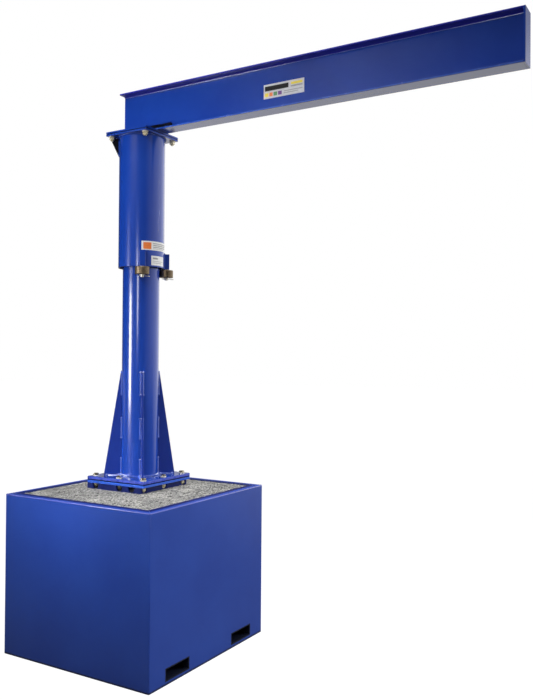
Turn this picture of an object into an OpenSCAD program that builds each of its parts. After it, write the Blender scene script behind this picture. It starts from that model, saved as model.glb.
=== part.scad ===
// Free-standing jib crane on a concrete-filled fork-pocket tub, millimetres.
// The boom points along +X from the mast axis and +Z is up.
// The origin is on the floor, under the mast axis. Right means the -Y side.

/* [Ballast tub] */
// Outside length of the tub along the boom
tub_length = 1066.8; // [900:0.1:1300]
// Outside width of the tub across the boom
tub_width = 1092.2; // [900:0.1:1300]
// Height of the tub walls above the floor
tub_height = 914.4; // [600:0.1:1100]
// Thickness of the tub's wall plates
tub_wall_t = 6.4; // [5:0.1:16]
// Width of the flange that the top of each wall is bent into
tub_flange_w = 63.5; // [20:0.5:80]
// Radius of the tub's bends and corners
tub_bend_r = 6.4; // [2:0.1:12]
// Thickness of the tub's floor plate
tub_floor_t = 9.5; // [6:0.1:16]
// Depth of the concrete below the rim, along the flanges
concrete_recess = 5; // [0:0.5:5]
// Rise of the troweled concrete from the flanges to the anchor frame
concrete_crown = 20.5; // [5:0.5:60]

/* [Fork pockets] */
// Clear width of each fork pocket
pocket_w = 197; // [150:1:260]
// Clear height of each fork pocket
pocket_h = 57; // [45:1:100]
// Wall of the pocket tube
pocket_wall_t = 6.4; // [4:0.1:10]
// Distance from the tub's side to the near side of a pocket's opening
pocket_edge = 138.6; // [60:0.1:200]
// Height of the pocket's clear opening above the floor
pocket_lift = 25; // [22:0.5:60]

/* [Anchor frame] */
// Outside width of the anchor frame cast into the concrete, and side of the base plates on it
anchor_frame_w = 431.8; // [400:0.1:460]
// Distance from the base plates' front edge back to the frame's front bar
frame_setback = 25.4; // [0:0.1:26]
// Thickness of the frame's flat bars
anchor_frame_t = 9.5; // [6:0.1:14]
// Height of the frame that stands clear of the concrete
anchor_frame_show = 35; // [34:0.1:80]
// Depth of the frame that is cast in
anchor_frame_embed = 50; // [10:1:120]
// Radius of the round-footed nut windows in the frame's top edge
window_r = 21.5; // [19.5:0.5:22]
// Depth of a window's straight sides
window_drop = 10; // [10:0.5:12]
// Distance from a bolt forward to its window in a side bar
window_shift = 31; // [0:0.5:33]
// Place of the spare window along the right-hand bar
spare_window_x = 122.5; // [80:0.5:145]

/* [Mast foot] */
// Thickness of each base plate
base_plate_t = 19; // [10:0.1:25]
// Distance from the base plates' edges in to the bolt line
base_bolt_inset = 35.9; // [30:0.1:40]
// Diameter of the base and head bolts
bolt_d = 19; // [12:0.5:20]
// Radial clearance of a bolt in its hole
bolt_clearance = 1.5; // [0.5:0.1:2]
// Length of thread that shows past a nut
bolt_tail = 7; // [4:0.5:7.5]

/* [Mast] */
// Outside diameter of the mast tube
mast_d = 219.1; // [180:0.1:230]
// Wall of the mast tube
mast_wall_t = 8.2; // [5:0.1:14]
// Reach of a mast gusset out from the tube, at the foot
mast_gusset_reach = 99.5; // [60:0.5:120]
// Height of a mast gusset
mast_gusset_h = 614; // [300:1:900]
// Thickness of a mast gusset
mast_gusset_t = 12.7; // [8:0.1:20]
// Width of the blunt ends of a gusset
gusset_nose = 12; // [4:0.5:25]

/* [Swivel] */
// Diameter of the pivot spindle on top of the mast
spindle_d = 60; // [40:1:80]
// Radial running clearance of the spindle in its hub
spindle_clearance = 0.05; // [0.02:0.01:0.1]
// Diameter of the spindle's flange
spindle_flange_d = 140; // [110:1:180]
// Thickness of the spindle's flange
spindle_flange_t = 16; // [8:0.5:25]
// Depth of the spigot below the flange
spindle_spigot_h = 19; // [10:1:40]
// Thickness of the mast's cap plate
mast_cap_t = 19; // [10:0.5:30]
// Thickness of the bronze thrust washer
thrust_washer_t = 8; // [4:0.5:20]
// Height of the bearing hub
hub_h = 60; // [40:1:120]
// Outside diameter of the bearing hub
hub_d = 120; // [100:1:160]
// Seating gap between turning and fixed faces
running_gap = 0.3; // [0.2:0.05:0.5]

/* [Sleeve] */
// Outside diameter of the sleeve
sleeve_d = 273.1; // [255:0.1:290]
// Wall of the sleeve
sleeve_wall_t = 9.3; // [6:0.1:14]
// Length of the sleeve
sleeve_length = 782.6; // [500:0.1:1100]
// Side of the two square head plates
head_plate_w = 304.8; // [300:0.1:360]
// Thickness of each head plate
head_plate_t = 12.7; // [8:0.1:25]
// Distance from the head plates' edges in to the bolts
head_bolt_inset = 25.4; // [22:0.1:27]
// Angle of each head gusset either side of the boom
head_gusset_angle = 143; // [142.5:0.5:150]
// Distance from a head gusset's end to the head plates' rear edge
head_gusset_gap = 3.4; // [3.2:0.1:10]
// Height of a head gusset
head_gusset_h = 114.3; // [60:0.1:250]
// Thickness of a head gusset
head_gusset_t = 9.5; // [6:0.1:14]

/* [Boom] */
// Height from the floor to the underside of the boom
under_boom = 3048; // [2600:1:3600]
// Reach of the boom in front of the mast axis
boom_reach = 2261; // [1500:1:3500]
// Overhang of the boom behind the mast axis
boom_overhang = 139; // [100:1:150]
// Depth of the boom's section
boom_depth = 256.8; // [200:0.1:320]
// Width of the boom's flanges
boom_flange_w = 101.9; // [90:0.1:140]
// Thickness of the boom's flanges
boom_flange_t = 8.4; // [6:0.1:14]
// Thickness of the boom's web
boom_web_t = 6.1; // [4:0.1:10]
// Radius of the fillets between web and flanges
boom_fillet_r = 9.5; // [4:0.5:12]
// Thickness of the plate that closes the boom's tip
end_plate_t = 9.5; // [5:0.1:16]
// Thickness of the bars on the lower flange
flange_bar_t = 19; // [10:0.5:25]
// Width of the bars on the lower flange
flange_bar_w = 19; // [12:0.5:37]
// Reach of the bars in front of the mast axis
flange_bar_reach = 252; // [180:1:500]

/* [Rollers] */
// Diameter of the guide rollers
roller_d = 83; // [60:0.5:110]
// Height of the guide rollers
roller_h = 44.5; // [30:0.5:80]
// Chamfer on the rollers' rims
roller_chamfer = 2; // [0.5:0.1:5]
// Angle of each roller either side of the boom
roller_angle = 48; // [40:0.5:60]
// Diameter of the roller axles
axle_d = 20; // [12:0.5:24]
// Radial running clearance of a roller on its axle
axle_clearance = 0.1; // [0.02:0.01:0.1]
// Space between the sleeve's end and a roller
roller_drop = 5; // [5:0.5:15]
// Side of the square bracket bars
bracket_w = 32; // [28:0.5:50]
// Height of the bracket bars
bracket_h = 92; // [60:1:200]

/* [Hidden] */
// Fixed proportions of the hexagon fasteners
washer_t = 3;
washer_ratio = 1.9;
head_ratio = 0.65;
nut_ratio = 0.85;
hex_ratio = 1.5;
round_fn = 96;
small_fn = 48;
eps = 1;
// Levels from the floor up
concrete_edge_z = tub_height - concrete_recess;
concrete_top_z = concrete_edge_z + concrete_crown;
anchor_plate_z = concrete_top_z + anchor_frame_show;
base_plate_z = anchor_plate_z + base_plate_t;
mast_foot_z = base_plate_z + base_plate_t;
boom_seat_z = under_boom - head_plate_t;
head_plate_z = boom_seat_z - head_plate_t;
hub_z = head_plate_z - hub_h;
washer_z = hub_z - running_gap - thrust_washer_t;
spindle_flange_z = washer_z - spindle_flange_t;
mast_cap_z = spindle_flange_z - mast_cap_t;
sleeve_z = head_plate_z - sleeve_length;
// Half sizes and radii
mast_r = mast_d / 2;
sleeve_r = sleeve_d / 2;
roller_r = roller_d / 2;
tub_inner_l = tub_length - 2 * tub_wall_t;
tub_inner_w = tub_width - 2 * tub_wall_t;
pocket_tube_w = pocket_w + 2 * pocket_wall_t;
pocket_tube_h = pocket_h + 2 * pocket_wall_t;
pocket_tube_z = pocket_lift - pocket_wall_t;
bolt_hole_d = bolt_d + 2 * bolt_clearance;
boom_start_x = -boom_overhang;
boom_tube_end = boom_reach - end_plate_t;
pocket_y = tub_width / 2 - pocket_edge - pocket_w / 2;
anchor_frame_l = anchor_frame_w - frame_setback;
base_bolt_pitch = anchor_frame_w / 2 - base_bolt_inset;
head_bolt_pitch = head_plate_w / 2 - head_bolt_inset;
head_gusset_reach = (head_plate_w / 2 - head_gusset_gap) / cos(180 - head_gusset_angle) - sleeve_r;
roller_orbit = mast_r + roller_r + running_gap;
roller_top_z = sleeve_z - roller_drop;
roller_z = roller_top_z - roller_h;
// Bolt places as [x, y], around the foot and at the head's corners
base_bolts_at = [for (i = [-1:1]) for (j = [-1:1]) if (i != 0 || j != 0)
    [i * base_bolt_pitch, j * base_bolt_pitch]];
head_bolts_at = [for (i = [-1, 1]) for (j = [-1, 1])
    [i * head_bolt_pitch, j * head_bolt_pitch]];
// Paint and bare metals
paint = [0.15, 0.25, 0.58];
zinc = [0.80, 0.77, 0.64];
bare_steel = [0.45, 0.45, 0.47];
dark_steel = [0.12, 0.12, 0.16];
bronze = [0.62, 0.47, 0.24];
roller_brown = [0.38, 0.29, 0.22];
cement = [0.66, 0.64, 0.60];

// ---- shapes that repeat ----

module tube(d, wall, h, z) {
    translate([0, 0, z]) linear_extrude(h) difference() {
        circle(d = d, $fn = round_fn);
        circle(d = d - 2 * wall, $fn = round_fn);
    }
}

// Square plate on the mast axis with a hole at each of the given places
module square_plate(w, t, z, holes) {
    translate([0, 0, z]) linear_extrude(t) difference() {
        square(w, center = true);
        for (at = holes) translate(at) circle(d = bolt_hole_d, $fn = small_fn);
    }
}

// Hexagon-head bolt through the grip, with washers, nut and thread end
module hex_bolt(d, grip_z, grip_h, tail) {
    head_h = head_ratio * d;
    nut_h = nut_ratio * d;
    below = washer_t + nut_h + tail;
    translate([0, 0, grip_z - below]) cylinder(d = d, h = below + grip_h + washer_t, $fn = small_fn);
    for (z = [grip_z - washer_t, grip_z + grip_h])
        translate([0, 0, z]) cylinder(d = washer_ratio * d, h = washer_t, $fn = small_fn);
    translate([0, 0, grip_z + grip_h + washer_t]) hexagon(d, head_h);
    translate([0, 0, grip_z - washer_t - nut_h]) hexagon(d, nut_h);
}

// Stud let flush into the top of the grip, with washer, nut and thread end below
module hex_stud(d, grip_z, grip_h, tail) {
    nut_h = nut_ratio * d;
    below = washer_t + nut_h + tail;
    translate([0, 0, grip_z - below]) cylinder(d = d, h = below + grip_h, $fn = small_fn);
    translate([0, 0, grip_z - washer_t]) cylinder(d = washer_ratio * d, h = washer_t, $fn = small_fn);
    translate([0, 0, grip_z - washer_t - nut_h]) hexagon(d, nut_h);
}

// Hexagon prism with the flats that suit a bolt of diameter d
module hexagon(d, h) {
    cylinder(d = hex_ratio * d / cos(30), h = h, $fn = 6);
}

// Triangular plate standing on a tube: nose at the far end, foot on the z = 0 side,
// tip the width left at the top
module gusset(tube_r, reach, h, t, tip) {
    difference() {
        rotate([90, 0, 0]) linear_extrude(t, center = true) polygon([
            [tube_r / 2, 0], [tube_r + reach, 0], [tube_r + reach, gusset_nose],
            [tube_r + tip, h], [tube_r / 2, h]
        ]);
        translate([0, 0, -eps]) cylinder(r = tube_r, h = h + 2 * eps, $fn = round_fn);
    }
}

// ---- tub ----

// Square with its corners rounded by true arcs
module rounded_rect(l, w, r) {
    square([l - 2 * r, w], center = true);
    square([l, w - 2 * r], center = true);
    for (x = [-1, 1], y = [-1, 1])
        translate([x * (l / 2 - r), y * (w / 2 - r)]) circle(r = r, $fn = small_fn);
}

// Wall plate in section, outer face at x = 0, its top bent inwards to a flange
module wall_section() {
    difference() {
        union() {
            translate([-tub_wall_t, 0]) square([tub_wall_t, tub_height]);
            translate([-tub_flange_w, tub_height - tub_wall_t]) square([tub_flange_w, tub_wall_t]);
        }
        translate([-tub_bend_r, tub_height - tub_bend_r]) difference() {
            square(tub_bend_r + eps);
            circle(r = tub_bend_r, $fn = small_fn);
        }
    }
}

// One wall: the section run along it, mitred into its neighbours at both corners.
// reach is the distance from the middle of the tub to the wall, span the wall's length.
module tub_wall(turn, reach, span) {
    rotate(turn) intersection() {
        translate([reach, 0, 0]) rotate([90, 0, 0])
            linear_extrude(span, center = true) wall_section();
        linear_extrude(tub_height) polygon([
            [reach, -span / 2], [reach, span / 2], [reach - tub_flange_w, span / 2 - tub_flange_w],
            [reach - tub_flange_w, -span / 2 + tub_flange_w]
        ]);
        linear_extrude(tub_height) rounded_rect(2 * reach, span, tub_bend_r);
    }
}

module tub_side_wall(side) {
    color(paint) tub_wall(side * 90, tub_width / 2, tub_length);
}

// End wall, cut for both pocket tubes
module tub_end_wall(end) {
    color(paint) difference() {
        tub_wall(90 - end * 90, tub_length / 2, tub_width);
        for (side = [-1, 1]) pocket_block(side, tub_length + 2 * eps);
    }
}

module tub_floor() {
    color(paint) translate([-tub_inner_l / 2, -tub_inner_w / 2, 0])
        cube([tub_inner_l, tub_inner_w, tub_floor_t]);
}

// Outer block of a pocket tube
module pocket_block(side, length) {
    translate([-length / 2, side * pocket_y - pocket_tube_w / 2, pocket_tube_z])
        cube([length, pocket_tube_w, pocket_tube_h]);
}

module fork_pocket(side) {
    color(paint) difference() {
        pocket_block(side, tub_length);
        translate([-tub_length / 2 - eps, side * pocket_y - pocket_w / 2, pocket_lift])
            cube([tub_length + 2 * eps, pocket_w, pocket_h]);
    }
}

// Outline of the fill across one direction: full up to the flanges, then between them
// rising to the flat top under the anchor frame
module fill_outline(inner, mouth) {
    side_z = tub_height - tub_wall_t;
    polygon([
        [-inner / 2, tub_floor_t], [inner / 2, tub_floor_t], [inner / 2, side_z],
        [mouth / 2, side_z], [mouth / 2, concrete_edge_z],
        [anchor_frame_w / 2, concrete_top_z], [-anchor_frame_w / 2, concrete_top_z],
        [-mouth / 2, concrete_edge_z], [-mouth / 2, side_z], [-inner / 2, side_z]
    ]);
}

module concrete_fill() {
    color(cement) difference() {
        intersection() {
            rotate([90, 0, 0]) linear_extrude(tub_inner_w, center = true)
                fill_outline(tub_inner_l, tub_length - 2 * tub_flange_w);
            rotate([90, 0, 90]) linear_extrude(tub_inner_l, center = true)
                fill_outline(tub_inner_w, tub_width - 2 * tub_flange_w);
        }
        for (side = [-1, 1]) pocket_block(side, tub_length);
        frame_ring();
    }
}

// ---- mast foot ----

// Ring of bars under the plates, its front bar set back from their front edge
module frame_ring() {
    translate([-frame_setback / 2, 0, concrete_top_z - anchor_frame_embed])
        linear_extrude(anchor_frame_embed + anchor_frame_show) difference() {
            square([anchor_frame_l, anchor_frame_w], center = true);
            square([anchor_frame_l - 2 * anchor_frame_t, anchor_frame_w - 2 * anchor_frame_t],
                center = true);
        }
}

// Outline of a window: straight sides down to a half-round foot, top edge at y = 0
module window_outline() {
    translate([0, -window_drop]) circle(r = window_r, $fn = small_fn);
    translate([-window_r, -window_drop]) square([2 * window_r, window_drop + eps]);
}

// Window cut through a side bar, or through an end bar when turned
module nut_window(x, y, turn) {
    translate([x, y, anchor_plate_z]) rotate([90, 0, turn])
        linear_extrude(2 * anchor_frame_t, center = true) window_outline();
}

module anchor_frame() {
    bar_y = (anchor_frame_w - anchor_frame_t) / 2;
    bar_x = (anchor_frame_l - anchor_frame_t) / 2;
    color(paint) difference() {
        frame_ring();
        for (side = [-1, 1]) {
            for (i = [-1:0]) nut_window(i * base_bolt_pitch + window_shift, side * bar_y, 0);
            for (i = [-1:1])
                nut_window(side * bar_x - frame_setback / 2, i * base_bolt_pitch, 90);
        }
        nut_window(spare_window_x, -bar_y, 0);
    }
}

module anchor_plate() {
    color(paint) square_plate(anchor_frame_w, base_plate_t, anchor_plate_z, base_bolts_at);
}

module mast_base_plate() {
    color(paint) square_plate(anchor_frame_w, base_plate_t, base_plate_z, base_bolts_at);
}

module base_bolts() {
    color(zinc) for (at = base_bolts_at) translate(at)
        hex_bolt(bolt_d, anchor_plate_z, 2 * base_plate_t, bolt_tail);
}

// ---- mast ----

module mast_tube() {
    color(paint) tube(mast_d, mast_wall_t, mast_cap_z - mast_foot_z, mast_foot_z);
}

module mast_gusset(turn) {
    color(paint) rotate(turn) translate([0, 0, mast_foot_z])
        gusset(mast_r, mast_gusset_reach, mast_gusset_h, mast_gusset_t, gusset_nose / 2);
}

// ---- swivel ----

module mast_cap() {
    color(paint) translate([0, 0, mast_cap_z]) difference() {
        cylinder(d = mast_d, h = mast_cap_t, $fn = round_fn);
        translate([0, 0, mast_cap_t - spindle_spigot_h - eps])
            cylinder(d = spindle_d, h = spindle_spigot_h + 2 * eps, $fn = round_fn);
    }
}

// Turned spindle: spigot in the cap, flange on it, journal up into the hub
module pivot_spindle() {
    color(bare_steel) translate([0, 0, spindle_flange_z]) rotate_extrude($fn = round_fn) polygon([
        [0, -spindle_spigot_h], [spindle_d / 2, -spindle_spigot_h], [spindle_d / 2, 0],
        [spindle_flange_d / 2, 0], [spindle_flange_d / 2, spindle_flange_t],
        [spindle_d / 2, spindle_flange_t], [spindle_d / 2, head_plate_z - spindle_flange_z - 8],
        [spindle_d / 2 - 3, head_plate_z - spindle_flange_z - 5], [0, head_plate_z - spindle_flange_z - 5]
    ]);
}

module thrust_washer() {
    color(bronze) tube(hub_d, (hub_d - spindle_d) / 2 - spindle_clearance, thrust_washer_t, washer_z);
}

module bearing_hub() {
    color(bare_steel) tube(hub_d, (hub_d - spindle_d) / 2 - spindle_clearance, hub_h, hub_z);
}

// ---- sleeve and head ----

module sleeve_tube() {
    color(paint) tube(sleeve_d, sleeve_wall_t, sleeve_length, sleeve_z);
}

module sleeve_head_plate() {
    color(paint) square_plate(head_plate_w, head_plate_t, head_plate_z, head_bolts_at);
}

// Gusset behind a rear stud, foot against the head plate and point downwards
module head_gusset(side) {
    color(dark_steel) rotate(side * head_gusset_angle) translate([0, 0, head_plate_z]) mirror([0, 0, 1])
        gusset(sleeve_r, head_gusset_reach, head_gusset_h, head_gusset_t, gusset_nose / 6);
}

module boom_seat_plate() {
    color(paint) square_plate(head_plate_w, head_plate_t, boom_seat_z, head_bolts_at);
}

module head_bolts() {
    color(zinc) for (at = head_bolts_at) translate(at)
        hex_stud(bolt_d, head_plate_z, 2 * head_plate_t, bolt_tail);
}

// ---- boom ----

module boom_section() {
    half_d = boom_depth / 2;
    half_w = boom_web_t / 2;
    inner = half_d - boom_flange_t;
    difference() {
        union() {
            square([boom_web_t, boom_depth], center = true);
            for (s = [-1, 1]) translate([0, s * (half_d - boom_flange_t / 2)])
                square([boom_flange_w, boom_flange_t], center = true);
            square([boom_web_t + 2 * boom_fillet_r, 2 * inner], center = true);
        }
        for (s = [-1, 1]) {
            for (v = [-1, 1])
                translate([s * (half_w + boom_fillet_r), v * (inner - boom_fillet_r)])
                    circle(r = boom_fillet_r, $fn = small_fn);
            translate([s * (half_w + boom_fillet_r), 0])
                square([2 * boom_fillet_r, 2 * (inner - boom_fillet_r)], center = true);
        }
    }
}

module boom_beam() {
    color(paint) translate([boom_start_x, 0, under_boom + boom_depth / 2]) rotate([90, 0, 90])
        linear_extrude(boom_tube_end - boom_start_x) boom_section();
}

module boom_end_plate() {
    color(paint) translate([boom_tube_end, -boom_flange_w / 2, under_boom])
        cube([end_plate_t, boom_flange_w, boom_depth]);
}

module flange_bar(side) {
    bar_y = side * (boom_flange_w - flange_bar_w) / 2;
    color(dark_steel) translate([boom_start_x, bar_y - flange_bar_w / 2, under_boom + boom_flange_t])
        cube([flange_bar_reach - boom_start_x, flange_bar_w, flange_bar_t]);
}

// ---- guide rollers ----

module on_roller_axis(side) {
    rotate(side * roller_angle) translate([roller_orbit, 0, 0]) children();
}

// Square bar on the sleeve with a boss that spaces the roller
module roller_bracket(side) {
    color(paint) difference() {
        on_roller_axis(side) {
            translate([-bracket_w, -bracket_w / 2, sleeve_z])
                cube([1.5 * bracket_w, bracket_w, bracket_h]);
            translate([0, 0, roller_top_z + running_gap])
                cylinder(d = bracket_w - 4, h = roller_drop, $fn = small_fn);
        }
        translate([0, 0, sleeve_z - eps]) cylinder(r = sleeve_r, h = bracket_h + 2 * eps, $fn = round_fn);
        on_roller_axis(side) translate([0, 0, roller_z])
            cylinder(d = axle_d, h = sleeve_z + bracket_h / 2 - roller_z, $fn = small_fn);
    }
}

module roller_axle(side) {
    head_h = head_ratio * axle_d;
    head_z = roller_z - running_gap - washer_t;
    color(zinc) on_roller_axis(side) {
        translate([0, 0, head_z])
            cylinder(d = axle_d, h = sleeve_z + bracket_h / 2 - head_z, $fn = small_fn);
        translate([0, 0, head_z]) cylinder(d = washer_ratio * axle_d, h = washer_t, $fn = small_fn);
        translate([0, 0, head_z - head_h]) hexagon(axle_d, head_h);
    }
}

module roller(side) {
    bore_r = axle_d / 2 + axle_clearance;
    c = roller_chamfer;
    color(roller_brown) on_roller_axis(side) translate([0, 0, roller_z])
        rotate_extrude($fn = round_fn) polygon([
            [bore_r, 0], [roller_r - c, 0], [roller_r, c], [roller_r, roller_h - c],
            [roller_r - c, roller_h], [bore_r, roller_h]
        ]);
}

tub_end_wall(1);  // tub_wall_front
tub_end_wall(-1);  // tub_wall_rear
tub_side_wall(1);  // tub_wall_left
tub_side_wall(-1);  // tub_wall_right
tub_floor();
fork_pocket(1);  // fork_pocket_left
fork_pocket(-1);  // fork_pocket_right
concrete_fill();
anchor_frame();
anchor_plate();
mast_base_plate();
base_bolts();
mast_tube();
mast_gusset(45);  // mast_gusset_front_left
mast_gusset(-45);  // mast_gusset_front_right
mast_gusset(135);  // mast_gusset_rear_left
mast_gusset(-135);  // mast_gusset_rear_right
mast_cap();
pivot_spindle();
thrust_washer();
bearing_hub();
sleeve_tube();
sleeve_head_plate();
head_gusset(1);  // head_gusset_left
head_gusset(-1);  // head_gusset_right
boom_seat_plate();
head_bolts();
boom_beam();
boom_end_plate();
flange_bar(1);  // flange_bar_left
flange_bar(-1);  // flange_bar_right
roller_bracket(1);  // roller_bracket_left
roller_bracket(-1);  // roller_bracket_right
roller_axle(1);  // roller_axle_left
roller_axle(-1);  // roller_axle_right
roller(1);  // roller_left
roller(-1);  // roller_right
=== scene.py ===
import math
import bmesh
import bpy
from mathutils import Matrix, Vector


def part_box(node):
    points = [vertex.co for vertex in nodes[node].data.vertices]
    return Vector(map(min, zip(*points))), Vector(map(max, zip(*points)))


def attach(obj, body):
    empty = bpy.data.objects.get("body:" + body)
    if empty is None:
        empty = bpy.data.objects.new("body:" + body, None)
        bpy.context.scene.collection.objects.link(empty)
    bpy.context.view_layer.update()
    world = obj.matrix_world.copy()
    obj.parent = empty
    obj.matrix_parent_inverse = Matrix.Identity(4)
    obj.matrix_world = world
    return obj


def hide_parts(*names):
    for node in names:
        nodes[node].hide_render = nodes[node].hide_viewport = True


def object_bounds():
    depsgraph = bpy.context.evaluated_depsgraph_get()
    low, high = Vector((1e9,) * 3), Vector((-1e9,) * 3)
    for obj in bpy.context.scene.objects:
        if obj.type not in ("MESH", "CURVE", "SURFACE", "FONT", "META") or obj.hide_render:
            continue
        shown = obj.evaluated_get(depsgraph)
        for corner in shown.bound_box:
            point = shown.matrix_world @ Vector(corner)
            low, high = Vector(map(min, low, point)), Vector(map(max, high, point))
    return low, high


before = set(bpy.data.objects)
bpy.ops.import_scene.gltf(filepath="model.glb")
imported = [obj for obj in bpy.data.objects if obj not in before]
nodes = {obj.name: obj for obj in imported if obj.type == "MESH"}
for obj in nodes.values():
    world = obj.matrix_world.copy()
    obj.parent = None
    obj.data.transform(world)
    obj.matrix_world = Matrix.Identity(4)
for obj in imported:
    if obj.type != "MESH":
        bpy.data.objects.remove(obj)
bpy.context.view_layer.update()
bpy.ops.object.select_all(action="DESELECT")
print("frame loaded:", len(nodes), "nodes")


# Colours are written as 0-255 screen values and turned linear here
def tint(r, g, b, alpha=1.0):
    def linear(c):
        c /= 255
        return c / 12.92 if c <= 0.04045 else ((c + 0.055) / 1.055) ** 2.4
    return (linear(r), linear(g), linear(b), alpha)


# ---- node helpers ----

def newMaterial(name):
    material = bpy.data.materials.new(name)
    material.use_nodes = True
    return material, material.node_tree, material.node_tree.nodes["Principled BSDF"]


def addNode(tree, kind, inputs=None, **settings):
    node = tree.nodes.new(kind)
    for key, value in settings.items():
        setattr(node, key, value)
    for key, value in (inputs or {}).items():
        node.inputs[key].default_value = value
    return node


def noise(tree, scale, detail=4.0, roughness=0.55, distortion=0.0, stretch=(1, 1, 1)):
    place = addNode(tree, "ShaderNodeTexCoord")
    mapping = addNode(tree, "ShaderNodeMapping", {"Scale": stretch})
    texture = addNode(tree, "ShaderNodeTexNoise",
                      {"Scale": scale, "Detail": detail, "Roughness": roughness, "Distortion": distortion})
    tree.links.new(place.outputs["Object"], mapping.inputs["Vector"])
    tree.links.new(mapping.outputs["Vector"], texture.inputs["Vector"])
    return texture.outputs["Fac"]


def ramp(tree, value, stops):
    node = addNode(tree, "ShaderNodeValToRGB")
    elements = node.color_ramp.elements
    while len(elements) < len(stops):
        elements.new(0.5)
    for element, (position, colour) in zip(elements, stops):
        element.position = position
        element.color = colour if len(colour) == 4 else (*colour, 1)
    tree.links.new(value, node.inputs["Fac"])
    return node.outputs["Color"]


def level(tree, value, low, high, toLow, toHigh):
    node = addNode(tree, "ShaderNodeMapRange",
                   {"From Min": low, "From Max": high, "To Min": toLow, "To Max": toHigh})
    tree.links.new(value, node.inputs["Value"])
    return node.outputs["Result"]


def mixColour(tree, amount, first, second, blend="MIX"):
    node = addNode(tree, "ShaderNodeMix", data_type="RGBA", blend_type=blend)
    for value, socket in ((amount, node.inputs[0]), (first, node.inputs[6]), (second, node.inputs[7])):
        if isinstance(value, bpy.types.NodeSocket):
            tree.links.new(value, socket)
        else:
            socket.default_value = value
    return node.outputs[2]


def math2(tree, operation, first, second):
    node = addNode(tree, "ShaderNodeMath", operation=operation)
    for value, socket in ((first, node.inputs[0]), (second, node.inputs[1])):
        if isinstance(value, bpy.types.NodeSocket):
            tree.links.new(value, socket)
        else:
            socket.default_value = value
    return node.outputs["Value"]


def addBump(tree, shader, layers):
    normal = None
    for height, strength, distance in layers:
        bump = addNode(tree, "ShaderNodeBump", {"Strength": strength, "Distance": distance})
        tree.links.new(height, bump.inputs["Height"])
        if normal:
            tree.links.new(normal, bump.inputs["Normal"])
        normal = bump.outputs["Normal"]
    tree.links.new(normal, shader.inputs["Normal"])


# ---- finishes ----

# The last argument is the height of a darker band along the floor, a painted contact shadow, in metres
def enamel(name, deep, fresh, roughness, peel, coat=0.5, specular=0.5, contactShadeHeight=0.0):
    material, tree, shader = newMaterial(name)
    clouds = noise(tree, 3.0, 5, 0.6)
    mottle = noise(tree, 26.0, 4, 0.5)
    colour = ramp(tree, clouds, [(0.32, deep), (0.68, fresh)])
    fine = ramp(tree, mottle, [(0.2, (0.95, 0.96, 0.97)), (0.8, (1, 1, 1))])
    colour = mixColour(tree, 1.0, colour, fine, "MULTIPLY")
    # Painted contact shadow: the colour darkens towards the floor
    if contactShadeHeight:
        place = addNode(tree, "ShaderNodeTexCoord")
        axes = addNode(tree, "ShaderNodeSeparateXYZ")
        tree.links.new(place.outputs["Object"], axes.inputs["Vector"])
        contactShadeBand = level(tree, axes.outputs["Z"], contactShadeHeight * 0.4, contactShadeHeight, 0.85, 0)
        colour = mixColour(tree, contactShadeBand, colour, tint(6, 8, 36))
    tree.links.new(colour, shader.inputs["Base Color"])
    tree.links.new(level(tree, mottle, 0.2, 0.8, roughness - 0.02, roughness + 0.05),
                   shader.inputs["Roughness"])
    shader.inputs["Coat Weight"].default_value = coat
    shader.inputs["Coat Roughness"].default_value = 0.14
    shader.inputs["Specular IOR Level"].default_value = specular
    addBump(tree, shader, [(noise(tree, 330.0, 2), peel, 0.0006), (clouds, 0.05, 0.004)])
    return material


def plainMetal(name, dark, light, roughness, metallic=1.0, spread=0.2):
    material, tree, shader = newMaterial(name)
    grain = noise(tree, 120.0, 5)
    tree.links.new(ramp(tree, grain, [(0.3, dark), (0.7, light)]), shader.inputs["Base Color"])
    shader.inputs["Metallic"].default_value = metallic
    tree.links.new(level(tree, grain, 0.3, 0.7, roughness, roughness + spread), shader.inputs["Roughness"])
    addBump(tree, shader, [(grain, 0.1, 0.0008)])
    return material


def castConcrete():
    material, tree, shader = newMaterial("cast_concrete")
    drift = noise(tree, 3.4, 4, 0.6, 0.8)
    grain = noise(tree, 120.0, 4, 0.7, 0.0, (1.5, 0.55, 1.0))
    grit = noise(tree, 70.0, 3, 0.6, 0.0, (1.4, 0.5, 1.0))
    smear = noise(tree, 9.0, 5, 0.6, 1.0)
    colour = ramp(tree, drift, [(0.35, tint(126, 126, 125)), (0.65, tint(154, 153, 150))])
    specks = ramp(tree, grain, [(0.40, (0.22, 0.22, 0.23)), (0.49, (0.86, 0.86, 0.85)), (0.60, (1.7, 1.69, 1.64))])
    colour = mixColour(tree, 1.0, colour, specks, "MULTIPLY")
    pale = level(tree, smear, 0.54, 0.72, 0, 0.45)
    colour = mixColour(tree, pale, colour, tint(206, 204, 194))
    pits = level(tree, grit, 0.39, 0.42, 1, 0)
    colour = mixColour(tree, pits, colour, tint(26, 25, 24))
    tree.links.new(colour, shader.inputs["Base Color"])
    shader.inputs["Roughness"].default_value = 0.88
    shader.inputs["Specular IOR Level"].default_value = 0.25
    addBump(tree, shader, [(grain, 0.5, 0.005), (math2(tree, "MINIMUM", grit, 0.40), 0.9, 0.010)])
    return material


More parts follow.
